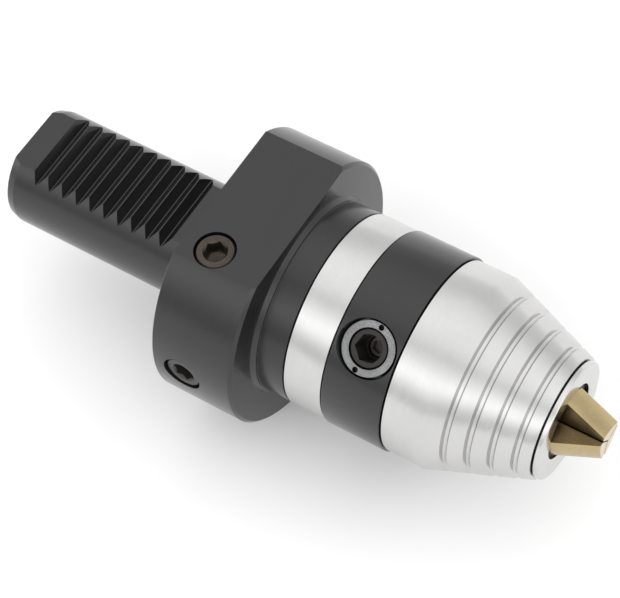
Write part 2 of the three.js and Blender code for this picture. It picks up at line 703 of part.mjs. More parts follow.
const ballAngles = Array.from({ length: BALL_COUNT }, (_, i) => (360 * i) / BALL_COUNT);
const pockets = ballAngles.map((angle) => {
  const centre = radial(angle).multiplyScalar(BALL_CIRCLE_R);
  const local = new THREE.Matrix4().makeTranslation(0, centre.y, centre.z).multiply(X_AXIS);
  return rod(BALL_R + GAP, BALL_X - 1.2, BALL_X + 1.2, local, 12);
});
const cage = cut(
  turned(
    [
      [BALL_X - 0.7, BALL_CIRCLE_R - BALL_R - 1.3],
      [BALL_X - 0.7, BALL_CIRCLE_R + BALL_R + 1.3],
      [BALL_X + 0.7, BALL_CIRCLE_R + BALL_R + 1.3],
      [BALL_X + 0.7, BALL_CIRCLE_R - BALL_R - 1.3],
    ],
    36,
  ),
  ...pockets,
);
place('bearing_cage', cage, 'brass');
ballAngles.forEach((angle, i) => {
  const mesh = new THREE.Mesh(
    toGeometry(toSolid(new THREE.IcosahedronGeometry(BALL_R, 1))),
    MATERIALS.bearing,
  );
  const centre = radial(angle).multiplyScalar(BALL_CIRCLE_R);
  mesh.position.set(BALL_X, centre.y, centre.z);
  mesh.name = `bearing_ball_${String(i + 1).padStart(2, '0')}`;
  root.add(mesh);
});

// ---------- nose sleeve, nose cap and seal ----------
const coneR = (x) => SLEEVE_R - CONE_SLOPE * (x - CONE_START_X);
const grooveXs = Array.from({ length: GROOVE_COUNT }, (_, i) => GROOVE_FIRST_X + i * GROOVE_PITCH);
const grooves = grooveXs.flatMap((x) => [
  [x - GROOVE_W / 2, coneR(x - GROOVE_W / 2)],
  [x - GROOVE_W / 4, coneR(x) - GROOVE_D],
  [x + GROOVE_W / 4, coneR(x) - GROOVE_D],
  [x + GROOVE_W / 2, coneR(x + GROOVE_W / 2)],
]);
const innerBendX = CONE_START_X + 0.8;
const sleeve = turned([
  [SLEEVE_START_X, SLEEVE_BORE_R],
  [SLEEVE_START_X, SLEEVE_R - 0.2],
  [SLEEVE_START_X + 0.2, SLEEVE_R],
  [CONE_START_X, SLEEVE_R],
  ...grooves,
  [SLEEVE_END_X, coneR(SLEEVE_END_X)],
  [SLEEVE_END_X, coneR(SLEEVE_END_X) - SLEEVE_WALL],
  [innerBendX, coneR(innerBendX) - SLEEVE_WALL],
]);
place('nose_sleeve', sleeve, 'bright');

const capR = coneR(SLEEVE_END_X) - 0.7;
const cap = turned([
  [SLEEVE_END_X - CAP_REACH, CAP_HOLE_R + 0.4],
  [SLEEVE_END_X - CAP_REACH, CAP_COLLAR_R],
  [CAP_START_X, CAP_COLLAR_R],
  [CAP_START_X, capR - 0.15],
  [CAP_START_X + 0.15, capR],
  [CAP_END_X - 0.5, capR],
  [CAP_END_X - 0.15, capR - 0.15],
  [CAP_END_X, capR - 0.5],
  [CAP_END_X, CAP_HOLE_R + 0.2],
  [CAP_END_X - 0.2, CAP_HOLE_R],
  [CAP_START_X, CAP_HOLE_R],
]);
place('nose_cap', cap, 'bright');
const seamX = (SLEEVE_END_X + CAP_START_X) / 2;
const noseSeal = turned([
  [seamX - 0.12, CAP_COLLAR_R + 0.3],
  [seamX - 0.12, capR - 0.45],
  [seamX + 0.12, capR - 0.45],
  [seamX + 0.12, CAP_COLLAR_R + 0.3],
]);
place('nose_seal', noseSeal, 'rubber');

// ---------- jaw guide ----------
const guideConeR = (x) => coneR(x) - SLEEVE_WALL - GAP;
const guideBlank = turned([
  [SLEEVE_START_X, CARRIER_R + GAP],
  [SLEEVE_START_X, SLEEVE_BORE_R - 2 - GAP],
  [SLEEVE_START_X + 2.6, SLEEVE_BORE_R - 2 - GAP],
  [SLEEVE_START_X + 2.6, SLEEVE_BORE_R - GAP],
  [innerBendX, SLEEVE_BORE_R - GAP],
  [SLEEVE_END_X, guideConeR(SLEEVE_END_X)],
  [SLEEVE_END_X, CAP_COLLAR_R + GAP],
  [SLEEVE_END_X - CAP_REACH - GAP, CAP_COLLAR_R + GAP],
  [SLEEVE_END_X - CAP_REACH - GAP, 7],
  [JAW_REAR_X, 7],
  [JAW_REAR_X, CARRIER_R + GAP],
]);

// Jaw cross-section, square to the slide: outward normal n against sideways t, from the tip corner.
function jawSection(grow) {
  const corner = JAW_TIP_R * Math.cos(tilt);
  const w = JAW_HALF_W + grow;
  const outer = [-1, -0.5, 0, 0.5, 1].map((t) => [corner + JAW_CROWN * (1 - t * t) + grow, t * w]);
  return [[JAW_INNER - (grow ? 3 : 0), w], [JAW_INNER - (grow ? 3 : 0), -w], ...outer];
}

// Straight bar along the slide of a jaw that points to local +Y, from the tip backwards.
function slideBar(grow, front, length) {
  const along = new THREE.Vector3(-Math.cos(tilt), Math.sin(tilt), 0);
  const normal = new THREE.Vector3(Math.sin(tilt), Math.cos(tilt), 0);
  const side = new THREE.Vector3().crossVectors(along, normal);
  const m = new THREE.Matrix4().makeBasis(normal, side.clone().negate(), along);
  m.setPosition(JAW_TIP_X, 0, 0);
  return prism(jawSection(grow).map(([n, t]) => [n, t]), -front, length, m);
}

const turn = (degrees) => new THREE.Matrix4().makeRotationX(THREE.MathUtils.degToRad(degrees));
const turnSolid = (solid, degrees) => toSolid(toGeometry(solid).applyMatrix4(turn(degrees)));

const slotReach = SLEEVE_BORE_R - 1.35;
const slotBox = box(SLEEVE_START_X - 1, CAP_END_X + 9, -12, slotReach, -10, 10);
const slot = slideBar(GAP, 30, 80).intersect(slotBox);
const jawGuide = cut(guideBlank, ...JAW_ANGLES.map((angle) => turnSolid(slot, angle)));
place('jaw_guide', jawGuide, 'gear');

// ---------- jaws ----------
function makeJaw() {
  const far = 30;
  const apex = JAW_VEE_GAP / Math.sin(Math.PI / 3);
  const vee = prism(
    [[apex, 0], [far, (far - apex) * Math.tan(Math.PI / 3)], [far, -(far - apex) * Math.tan(Math.PI / 3)]],
    JAW_REAR_X - 18,
    JAW_TIP_X + 9,
    new THREE.Matrix4().makeBasis(
      new THREE.Vector3(0, 1, 0),
      new THREE.Vector3(0, 0, 1),
      new THREE.Vector3(1, 0, 0),
    ),
  );
  const blade = slideBar(0, 10, 60)
    .intersect(box(JAW_REAR_X, JAW_TIP_X, -5, JAW_TRIM_R, -10, 10))
    .intersect(vee);
  const neck = box(TAIL_NECK_X, JAW_REAR_X + 0.5, TAIL_IN_R, TAIL_OUT_R, -TAIL_NECK_W, TAIL_NECK_W);
  const head = box(TAIL_HEAD_X, TAIL_NECK_X, TAIL_IN_R, TAIL_OUT_R, -TAIL_HEAD_W, TAIL_HEAD_W);
  return union(blade, neck, head);
}
const jaw = makeJaw();
JAW_ANGLES.forEach((angle, i) => place(`jaw_${i + 1}`, turnSolid(jaw, angle), 'gold'));

// ---------- jaw carrier ----------
const stemThread = threadedRod(THREAD_R, THREAD_ROOT_R, THREAD_PITCH, STEM_REAR_X, CARRIER_REAR_X + 0.4);
const carrierBlank = union(
  stemThread,
  turned(
    [
      [CARRIER_REAR_X, 0],
      [CARRIER_REAR_X, CARRIER_R - 0.4],
      [CARRIER_REAR_X + 0.4, CARRIER_R],
      [CARRIER_FRONT_X - 0.4, CARRIER_R],
      [CARRIER_FRONT_X, CARRIER_R - 0.4],
      [CARRIER_FRONT_X, 0],
    ],
    40,
  ),
);
const tailSlot = union(
  box(TAIL_HEAD_X - GAP, TAIL_NECK_X + GAP, TAIL_IN_R - GAP, 20, -TAIL_HEAD_W - GAP, TAIL_HEAD_W + GAP),
  box(TAIL_NECK_X, CARRIER_FRONT_X + 2, TAIL_IN_R - GAP, 20, -TAIL_NECK_W - GAP, TAIL_NECK_W + GAP),
);
const carrier = cut(
  carrierBlank,
  ...JAW_ANGLES.map((angle) => turnSolid(tailSlot, angle)),
  rodX(2.5, STEM_REAR_X - 1, CARRIER_FRONT_X + 1, 16),
);
place('jaw_carrier', carrier, 'gear');

export default root;
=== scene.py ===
import json
import math

import bmesh
import bpy
from mathutils import Matrix, Vector


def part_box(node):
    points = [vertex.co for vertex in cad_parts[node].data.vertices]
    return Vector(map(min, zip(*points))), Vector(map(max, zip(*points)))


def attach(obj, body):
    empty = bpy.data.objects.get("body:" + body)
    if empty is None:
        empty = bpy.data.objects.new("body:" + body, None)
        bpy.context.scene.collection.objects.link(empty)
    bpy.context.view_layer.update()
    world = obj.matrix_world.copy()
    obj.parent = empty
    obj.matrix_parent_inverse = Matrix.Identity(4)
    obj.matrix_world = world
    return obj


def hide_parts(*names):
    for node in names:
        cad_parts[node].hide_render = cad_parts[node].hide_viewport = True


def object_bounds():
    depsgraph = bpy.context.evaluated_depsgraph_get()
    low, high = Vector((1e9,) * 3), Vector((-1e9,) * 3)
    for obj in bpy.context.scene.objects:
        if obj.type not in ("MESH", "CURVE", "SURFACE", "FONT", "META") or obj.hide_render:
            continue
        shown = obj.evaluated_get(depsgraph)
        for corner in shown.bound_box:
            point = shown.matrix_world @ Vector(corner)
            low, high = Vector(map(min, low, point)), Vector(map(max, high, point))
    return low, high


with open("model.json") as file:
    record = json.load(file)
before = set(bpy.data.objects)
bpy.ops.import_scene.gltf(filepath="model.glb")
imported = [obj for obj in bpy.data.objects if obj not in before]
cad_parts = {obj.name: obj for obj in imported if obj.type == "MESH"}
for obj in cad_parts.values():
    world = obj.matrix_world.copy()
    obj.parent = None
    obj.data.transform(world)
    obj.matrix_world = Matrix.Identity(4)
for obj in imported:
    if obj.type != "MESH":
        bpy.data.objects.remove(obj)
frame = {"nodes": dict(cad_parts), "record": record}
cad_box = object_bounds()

# Lengths in this script are millimetres until a piece is finished, then metres like the frame.
MM = 0.001
FINE = 192  # facets around large turned pieces
SMALL = 72  # facets around plugs
SHARP = math.radians(30)  # edges sharper than this are shaded as edges
WELD = 0.002  # points closer than this are one point after a boolean
ALONG = Vector((1, 0, 0))  # the chuck axis, towards the nose

# Shank, flange and neck
SHANK_R = 15.0
SHANK_FLAT = 12.2  # height of the rack's crests over the axis
SHANK_BEVEL = 2.2
COOLANT_R = 1.9
RACK_TEETH = 10
RACK_START = -49.2
RACK_PITCH = 4.1
RACK_ROOT = 10.0  # height of the rack's roots over the axis
FLANK_BEHIND = 1.6  # width of a groove from its root to its crest, towards the shank end
FLANK_AHEAD = 2.2  # and towards the flange
FLANGE_T = 21.8
FLANGE_CHAMFER = 0.75
SEAL_X = 1.05
SEAL_RING_R = 18.3
SEAL_SECTION_R = 1.05
SPIGOT_R = 18.0
BODY_BORE_R = 16.3
FIT = 0.3  # clearance between neighbouring pieces

# Plugs, ring nut and pinion, measured outwards from the chuck axis
TOP_PLUG_Y = -14.4
PLUG_R = 4.7
PLUG_HOLE_R = 5.0
PLUG_LENGTH = 8.0
PLUG_KEY_R = 2.89  # corner radius of the hexagon socket
NUT_TOP = 23.7
NUT_R = 6.55
NUT_HOLE_R = 4.75
NUT_SEAT_R = 6.85
SPANNER_CIRCLE_R = 5.75
SPANNER_HOLE_R = 0.7
SPANNER_ANGLE = math.radians(100.5)
PINION_BORE_R = 6.25
PINION_SHAFT_R = 5.95
PINION_HEAD_R = 4.45
PINION_HEAD_TOP = 23.4
GEAR_TOP = 12.9  # the gear's share of the pinion ends here
KEY_R = 3.464  # corner radius of the 6 mm hexagon socket
KEY_TURN = math.radians(41)

# Housing and nose
HOUSING_BORE_R = 20.2
CONE_START = 65.8
CONE_SLOPE = 0.374
GROOVES = (71.3, 76.3, 81.3, 86.3)
SLEEVE_WALL = 1.9
NOSE_HOLE_R = 9.5


def span(node):
    """First x, last x and outer radius of a turned CAD piece, in mm."""
    low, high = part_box(node)
    return low[0] / MM, high[0] / MM, max(high[1], high[2], -low[1], -low[2]) / MM


def radial_frame(x, out, y=0.0):
    """Local X points outwards, local Z along the chuck axis, local Y sideways."""
    side = ALONG.cross(out)
    rows = [(out[i], side[i], ALONG[i], (x, y, 0.0)[i]) for i in range(3)]
    return Matrix((*rows, (0, 0, 0, 1)))


def middle_of(node):
    low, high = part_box(node)
    return (Vector(low) + Vector(high)) / (2 * MM)


def square_to_axis(direction):
    return Vector((0, direction[1], direction[2])).normalized()


# ---------- meshes ----------
def round_corners(corners, closed):
    """Corners (x, r) or (x, r, fillet) as plain points, with each fillet as a short arc."""
    points = []
    count = len(corners)
    for i, corner in enumerate(corners):
        here = Vector(corner[:2])
        fillet = corner[2] if len(corner) > 2 else 0
        if not fillet or (not closed and i in (0, count - 1)):
            points.append(here)
            continue
        back = Vector(corners[i - 1][:2]) - here
        ahead = Vector(corners[(i + 1) % count][:2]) - here
        half = back.angle(ahead) / 2
        reach = min(fillet / math.tan(half), 0.45 * back.length, 0.45 * ahead.length)
        start = here + back.normalized() * reach
        end = here + ahead.normalized() * reach
        middle = (back.normalized() + ahead.normalized()).normalized()
        centre = here + middle * (reach / math.cos(half))
        first, last = start - centre, end - centre
        turn = first.angle_signed(last)
        for k in range(5):
            angle = -turn * k / 4
            c, s = math.cos(angle), math.sin(angle)
            arm = Vector((first.x * c - first.y * s, first.x * s + first.y * c))
            points.append(centre + arm)
    return points


def new_object(name, bm):
    bmesh.ops.recalc_face_normals(bm, faces=bm.faces)
    mesh = bpy.data.meshes.new(name)
    bm.to_mesh(mesh)
    bm.free()
    piece = bpy.data.objects.new(name, mesh)
    bpy.context.scene.collection.objects.link(piece)
    return piece


def revolve(name, corners, segments=FINE, matrix=None, phase=0.0):
    """Solid of revolution around local X. A profile that starts and ends on the axis is capped there."""
    on_axis = corners[0][1] == 0 and corners[-1][1] == 0
    points = round_corners(corners, not on_axis)
    bm = bmesh.new()
    rings = []
    for x, r in points:
        if r < 1e-6:
            rings.append([bm.verts.new((x, 0, 0))])
            continue
        angles = [phase + 2 * math.pi * k / segments for k in range(segments)]
        rings.append([bm.verts.new((x, r * math.cos(a), r * math.sin(a))) for a in angles])
    following = rings[1:] if on_axis else rings[1:] + rings[:1]
    for one, two in zip(rings, following):
        for k in range(segments):
            j = (k + 1) % segments
            loop = [one[k % len(one)], one[j % len(one)], two[j % len(two)], two[k % len(two)]]
            bm.faces.new(list(dict.fromkeys(loop)))
    if matrix is not None:
        bm.transform(matrix)
    return new_object(name, bm)


def rod(name, radius, start, end, matrix, segments, phase=0.0):
    return revolve(name, [(start, 0), (start, radius), (end, radius), (end, 0)], segments, matrix, phase)


def prism(name, outline, start, end):
    """Outline in local X and Z, extruded along local Y."""
    bm = bmesh.new()
    near = [bm.verts.new((x, start, z)) for x, z in outline]
    far = [bm.verts.new((x, end, z)) for x, z in outline]
    bm.faces.new(near)
    bm.faces.new(far)
    for k in range(len(outline)):
        j = (k + 1) % len(outline)
        bm.faces.new((near[k], near[j], far[j], far[k]))
    return new_object(name, bm)


def block(name, low, high):
    outline = [(low[0], low[2]), (high[0], low[2]), (high[0], high[2]), (low[0], high[2])]
    return prism(name, outline, low[1], high[1])


def freeze(piece):
    """Applies the modifiers."""
    graph = bpy.context.evaluated_depsgraph_get()
    mesh = bpy.data.meshes.new_from_object(piece.evaluated_get(graph))
    piece.modifiers.clear()
    piece.data = mesh


def combine(piece, operation, tools):
    for tool in tools:
        step = piece.modifiers.new(operation, "BOOLEAN")
        step.operation = operation
        step.solver = "EXACT"
        step.object = tool
    freeze(piece)
    for tool in tools:
        bpy.data.objects.remove(tool)
    bm = bmesh.new()
    bm.from_mesh(piece.data)
    bmesh.ops.remove_doubles(bm, verts=bm.verts, dist=WELD)
    bmesh.ops.dissolve_degenerate(bm, edges=bm.edges, dist=WELD)
    bm.to_mesh(piece.data)
    bm.free()
    return piece


def cut(piece, *tools):
    return combine(piece, "DIFFERENCE", tools)


def join(piece, *tools):
    return combine(piece, "UNION", tools)


def common(piece, *tools):
    return combine(piece, "INTERSECT", tools)


def break_edges(piece, width, angle):
    """Small round on every sharp edge, as tumbling or a file leaves it."""
    step = piece.modifiers.new("edges", "BEVEL")
    step.width = width
    step.segments = 2
    step.limit_method = "ANGLE"
    step.angle_limit = math.radians(angle)
    step.use_clamp_overlap = True
    freeze(piece)
    return piece


def from_node(name, node):
    """A separate copy of a CAD node's mesh, in mm and with its flat faces whole."""
    bm = bmesh.new()
    bm.from_mesh(frame["nodes"][node].data)
    bm.transform(Matrix.Scale(1 / MM, 4))
    bmesh.ops.remove_doubles(bm, verts=bm.verts, dist=0.001)
    bmesh.ops.dissolve_limit(
        bm, angle_limit=math.radians(0.5), verts=bm.verts, edges=bm.edges, delimit={"NORMAL"}
    )
    return new_object(name, bm)


def complete(piece, body, nodes, material):
    """Metres, shading, finish and the CAD body that carries the piece."""
    bm = bmesh.new()
    bm.from_mesh(piece.data)
    bm.transform(Matrix.Scale(MM, 4))
    for face in bm.faces:
        face.smooth = True
    for edge in bm.edges:
        angle = edge.calc_face_angle(0.0) if len(edge.link_faces) == 2 else math.pi
        edge.smooth = angle < SHARP
    bm.to_mesh(piece.data)
    bm.free()
    piece.data.materials.clear()
    piece.data.materials.append(material)
    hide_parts(*nodes)
    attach(piece, body)
    return piece


def paint(piece, material, test):
    """One more finish, on the faces whose centre (in metres) and normal pass the test."""
    piece.data.materials.append(material)
    for face in piece.data.polygons:
        if test(face.center, face.normal):
            face.material_index = len(piece.data.materials) - 1


# ---------- materials ----------
def add(tree, kind, inputs=None, **settings):
    made = tree.nodes.new(kind)
    for key, value in settings.items():
        setattr(made, key, value)
    for key, value in (inputs or {}).items():
        if isinstance(value, bpy.types.NodeSocket):
            tree.links.new(value, made.inputs[key])
        else:
            made.inputs[key].default_value = value
    return made


def blend_colours(tree, factor, first, second):
    mix = add(tree, "ShaderNodeMix", data_type="RGBA")
    for key, value in ((0, factor), (6, first), (7, second)):
        if isinstance(value, bpy.types.NodeSocket):
            tree.links.new(value, mix.inputs[key])
        else:
            mix.inputs[key].default_value = value
    return mix.outputs[2]


def remap(tree, value, from_min, from_max, to_min, to_max):
    inputs = {0: value, 1: from_min, 2: from_max, 3: to_min, 4: to_max}
    return add(tree, "ShaderNodeMapRange", inputs, clamp=True).outputs[0]


def colour(value, share=1.0):
    return (value[0] * share, value[1] * share, value[2] * share, 1.0)


def local_to(tree, place, where):
    """Coordinates of a piece's own axis, for a piece that isn't on the chuck axis."""
    inputs = {
        "Vector": where,
        "Location": place.to_translation() * MM,
        "Rotation": place.to_euler(),
    }
    return add(tree, "ShaderNodeMapping", inputs, vector_type="TEXTURE").outputs[0]


def machined(
    name,
    tint,
    metallic,
    roughness,
    place=None,
    pitch=0.35,
    lines=0.5,
    line_depth=0.006,
    grain=0.25,
    grain_size=0.25,
    grain_depth=0.002,
    blotch=0.12,
    swing=0.06,
    second=None,
    ior=1.5,
    anisotropy=0.0,
):
    """Metal cut in a lathe: fine lines around an axis, a fine grain, and a slow drift of tone."""
    material = bpy.data.materials.new(name)
    material.use_nodes = True
    tree = material.node_tree
    shader = tree.nodes["Principled BSDF"]
    where = add(tree, "ShaderNodeTexCoord").outputs["Object"]
    if place is not None:
        where = local_to(tree, place, where)
    flat = add(
        tree, "ShaderNodeVectorMath", {0: where, 1: (0, 1, 1)}, operation="MULTIPLY"
    ).outputs[0]
    radius = add(tree, "ShaderNodeVectorMath", {0: flat}, operation="LENGTH").outputs["Value"]
    around = add(tree, "ShaderNodeVectorMath", {0: flat}, operation="NORMALIZE").outputs[0]
    axial = add(tree, "ShaderNodeSeparateXYZ", {0: where}).outputs[0]
    turn = add(tree, "ShaderNodeSeparateXYZ", {0: around})
    stretch = 1 / (pitch * MM)
    across = add(tree, "ShaderNodeMath", {0: axial, 1: stretch}, operation="MULTIPLY").outputs[0]
    outwards = add(tree, "ShaderNodeMath", {0: radius, 1: stretch}, operation="MULTIPLY").outputs[0]
    one_way = add(tree, "ShaderNodeMath", {0: turn.outputs[1], 1: 1.3}, operation="MULTIPLY")
    line_place = add(
        tree, "ShaderNodeCombineXYZ", {0: across, 1: outwards, 2: one_way.outputs[0]}
    ).outputs[0]
    line_noise = add(
        tree,
        "ShaderNodeTexNoise",
        {"Vector": line_place, "W": turn.outputs[2], "Scale": 1.0, "Detail": 3.0, "Roughness": 0.65},
        noise_dimensions="4D",
    ).outputs[0]
    grain_noise = add(
        tree,
        "ShaderNodeTexNoise",
        {"Vector": where, "Scale": 1 / (grain_size * MM), "Detail": 3.0, "Roughness": 0.7},
    ).outputs[0]
    slow_noise = add(
        tree,
        "ShaderNodeTexNoise",
        {"Vector": where, "Scale": 1 / (9 * MM), "Detail": 3.0, "Roughness": 0.55},
    ).outputs[0]
    drift = remap(tree, slow_noise, 0.3, 0.7, 0.0, 1.0)
    base = blend_colours(
        tree,
        drift,
        colour(tint, 1 - blotch),
        colour(second or tint, 1 + (0 if second else blotch)),
    )
    fine = remap(tree, line_noise, 0.35, 0.65, 0.0, 1.0)
    darker = add(tree, "ShaderNodeHueSaturation", {"Value": 1 - 0.5 * grain, "Color": base})
    speck = remap(tree, grain_noise, 0.42, 0.62, 1.0, 0.0)
    base = blend_colours(tree, speck, base, darker.outputs[0])
    tree.links.new(base, shader.inputs["Base Color"])
    wavering = add(
        tree, "ShaderNodeMath", {0: fine, 1: lines, 2: 0.0}, operation="MULTIPLY_ADD"
    ).outputs[0]
    mixed = add(
        tree,
        "ShaderNodeMath",
        {0: grain_noise, 1: 1 - lines, 2: wavering},
        operation="MULTIPLY_ADD",
    ).outputs[0]
    rough = remap(tree, mixed, 0.0, 1.0, roughness - swing, roughness + swing)
    tree.links.new(rough, shader.inputs["Roughness"])
    first_bump = add(
        tree,
        "ShaderNodeBump",
        {"Height": line_noise, "Strength": 1.0, "Distance": line_depth * MM},
    ).outputs[0]
    second_bump = add(
        tree,
        "ShaderNodeBump",
        {
            "Height": grain_noise,
            "Strength": 1.0,
            "Distance": grain_depth * MM,
            "Normal": first_bump,
        },
    ).outputs[0]
    tree.links.new(second_bump, shader.inputs["Normal"])
    shader.inputs["Metallic"].default_value = metallic
    shader.inputs["IOR"].default_value = ior
    shader.inputs["Anisotropic"].default_value = anisotropy
    if anisotropy:
        tangent = add(tree, "ShaderNodeTangent", direction_type="RADIAL", axis="X")
        tree.links.new(tangent.outputs[0], shader.inputs["Tangent"])
    return material


# ---------- places of the pieces that don't lie on the chuck axis ----------
joints = {joint["name"]: joint for joint in frame["record"]["behaviour"]["joints"]}
pinion_joint = joints["pinion_turn"]
pinion_place = radial_frame(pinion_joint["pos_m"][0] / MM, square_to_axis(pinion_joint["axis"]))
side_plug_middle = middle_of("flange_plug_side")
side_place = radial_frame(side_plug_middle.x, square_to_axis(side_plug_middle))
top_place = radial_frame(middle_of("flange_plug_top").x, Vector((0, 0, 1)), TOP_PLUG_Y)

# ---------- finishes ----------
black_look = {"line_depth": 0.003, "grain_depth": 0.001, "ior": 1.56, "swing": 0.04}
black_oxide = machined("black_oxide", (0.008, 0.0083, 0.0085), 0.0, 0.22, grain=0.35, **black_look)
black_band = machined("black_band", (0.009, 0.009, 0.0105), 0.0, 0.19, **black_look)
bright_steel = machined(
    "bright_steel",
    (0.60, 0.597, 0.59),
    1.0,
    0.2,
    grain=0.1,
    blotch=0.03,
    anisotropy=0.5,
    line_depth=0.012,
)
cap_steel = machined("cap_steel", (0.62, 0.617, 0.61), 1.0, 0.2, grain=0.1, blotch=0.03)
plug_steel = machined(
    "plug_steel",
    (0.11, 0.085, 0.07),
    0.8,
    0.28,
    top_place,
    second=(0.07, 0.058, 0.05),
    grain=0.7,
    grain_depth=0.006,
)
dark_plug = machined("dark_plug", (0.03, 0.028, 0.026), 0.2, 0.35, side_place)
nut_steel = machined(
    "nut_steel", (0.27, 0.275, 0.275), 1.0, 0.33, pinion_place, grain=0.9, grain_depth=0.006
)
pinion_steel = machined(
    "pinion_steel", (0.028, 0.025, 0.024), 0.6, 0.32, pinion_place, pitch=0.3, line_depth=0.03
)
screw_steel = machined("screw_steel", (0.10, 0.09, 0.085), 1.0, 0.35, pinion_place)
# Near-black finish that stands in for the shade inside the spanner pin holes: painted shade in a recess.
painted_hole_shade = machined("painted_hole_shade", (0.004, 0.004, 0.004), 0.0, 0.5)
gear_steel = machined("gear_steel", (0.36, 0.36, 0.36), 1.0, 0.34)
bearing_steel = machined("bearing_steel", (0.6, 0.61, 0.62), 1.0, 0.15)
bronze = machined("bronze", (0.52, 0.33, 0.12), 1.0, 0.32)
gold = machined(
    "gold_coating",
    (0.50, 0.395, 0.21),
    1.0,
    0.30,
    grain=0.3,
    grain_size=0.2,
    blotch=0.1,
    line_depth=0.003,
)
# Darker brown copy of the gold coating: painted shade for the jaws' side faces, where the jaws face each
# other.
gold_painted_shade = machined(
    "gold_painted_shade",
    (0.15, 0.105, 0.05),
    1.0,
    0.33,
    grain=0.6,
    grain_size=0.3,
    blotch=0.3,
    line_depth=0.003,
)
gold_tip = machined("gold_tip", (0.72, 0.62, 0.48), 1.0, 0.35, grain=0.3)
rubber = machined("rubber", (0.012, 0.012, 0.012), 0.0, 0.6, grain=0.4, grain_depth=0.01)


# ---------- shank, flange and neck ----------
rear, spigot_end, flange_r = span("tool_body")
ring_start, ring_end, ring_r = span("clamp_ring")
flange_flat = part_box("tool_body")[1][2] / MM
neck_r = ring_r
neck_end = ring_start - FIT

body = revolve(
    "chuck_shank_and_flange",
    [
        (rear, COOLANT_R + 1.3, 0.1),
        (rear, SHANK_R - 0.55, 0.15),
        (rear + SHANK_BEVEL, SHANK_R, 0.15),
        (-0.9, SHANK_R),
        (-0.7, SHANK_R - 0.25),
        (0, SHANK_R - 0.25),
        (0, 16.9, 0.1),
        (2.2, 16.9, 0.1),
        (2.2, 19.7, 0.1),
        (0, 19.7, 0.1),
        (0, flange_r - 0.15, 0.05),
        (0.15, flange_r, 0.05),
        (FLANGE_T - FLANGE_CHAMFER, flange_r, 0.1),
        (FLANGE_T, flange_r - FLANGE_CHAMFER, 0.1),
        (FLANGE_T, neck_r + 1.2, 0.1),
        (FLANGE_T + 1.2, neck_r + 0.6, 0.1),
        (FLANGE_T + 1.2, neck_r, 0.1),
        (neck_end, neck_r, 0.2),
        (neck_end, SPIGOT_R, 0.1),
        (spigot_end, SPIGOT_R, 0.2),
        (spigot_end, BODY_BORE_R),
        (30.6, BODY_BORE_R),
        (30.6, 6.6),
        (22, 6.6),
        (20, COOLANT_R),
        (rear + SHANK_BEVEL, COOLANT_R),
    ],
)
cutters = [
    block("flat_a", (rear - 5, -20, SHANK_FLAT), (-0.02, 20, 25)),
    block("flat_b", (-1, -40, flange_flat), (FLANGE_T + 0.02, 40, 40)),
]
for i in range(RACK_TEETH):
    x = RACK_START + RACK_PITCH * i
    outline = [
        (x - 0.12, RACK_ROOT),
        (x + 0.12, RACK_ROOT),
        (x + FLANK_AHEAD, SHANK_FLAT),
        (x + FLANK_AHEAD + 1.6, SHANK_FLAT + 1.6),
        (x - FLANK_BEHIND - 1.1, SHANK_FLAT + 1.6),
        (x - FLANK_BEHIND, SHANK_FLAT),
    ]
    cutters.append(prism(f"tooth_{i}", outline, -17, 17))
cutters.append(rod("hole_a", PLUG_HOLE_R, flange_flat - 9.2, flange_flat + 1, top_place, SMALL))
cutters.append(rod("hole_b", PLUG_HOLE_R, flange_r - 10.4, flange_r + 2, side_place, SMALL))
for tool in cutters:
    cut(body, tool)
complete(body, "chuck_body", ["tool_body"], black_oxide)


seal_ring = []
for k in range(16):
    angle = 2 * math.pi * k / 16
    seal_x = SEAL_X + SEAL_SECTION_R * math.cos(angle)
    seal_ring.append((seal_x, SEAL_RING_R + SEAL_SECTION_R * math.sin(angle)))
face_seal = revolve("flange_face_seal", seal_ring, 120)
complete(face_seal, "chuck_body", ["flange_seal"], rubber)


def plug(name, node, place, top, material):
    """Threaded plug with a hexagon socket."""
    foot = top - PLUG_LENGTH
    edge = 0.4
    outline = [
        (foot, 0),
        (foot, PLUG_R),
        (top - edge, PLUG_R, 0.1),
        (top, PLUG_R - edge, 0.1),
        (top, 0),
    ]
    made = revolve(name, outline, SMALL, place)
    socket = rod("socket", PLUG_KEY_R, top - 3.6, top + 1, place, 6, 0.2)
    drill_and_mouth = [
        (top - 4.6, 0),
        (top - 3.5, 2.2),
        (top - 0.9, 2.2),
        (top + 0.6, 3.5),
        (top + 0.6, 0),
    ]
    cut(made, socket, revolve("mouth", drill_and_mouth, 48, place))
    complete(made, "chuck_body", [node], material)


top_plug_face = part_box("flange_plug_top")[1][2] / MM
side_plug_face = -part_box("flange_plug_side")[0][1] / MM
plug("flange_top_plug", "flange_plug_top", top_place, top_plug_face, plug_steel)
plug("flange_side_plug", "flange_plug_side", side_place, side_plug_face, dark_plug)

# ---------- clamp ring and gear housing ----------
ring = revolve(
    "clamp_ring_turned",
    [
        (ring_start, 21.2, 0.1),
        (ring_start, ring_r, 0.2),
        (ring_end, ring_r, 0.2),
        (ring_end, 21.2, 0.1),
    ],
)
complete(ring, "chuck_body", ["clamp_ring"], bright_steel)

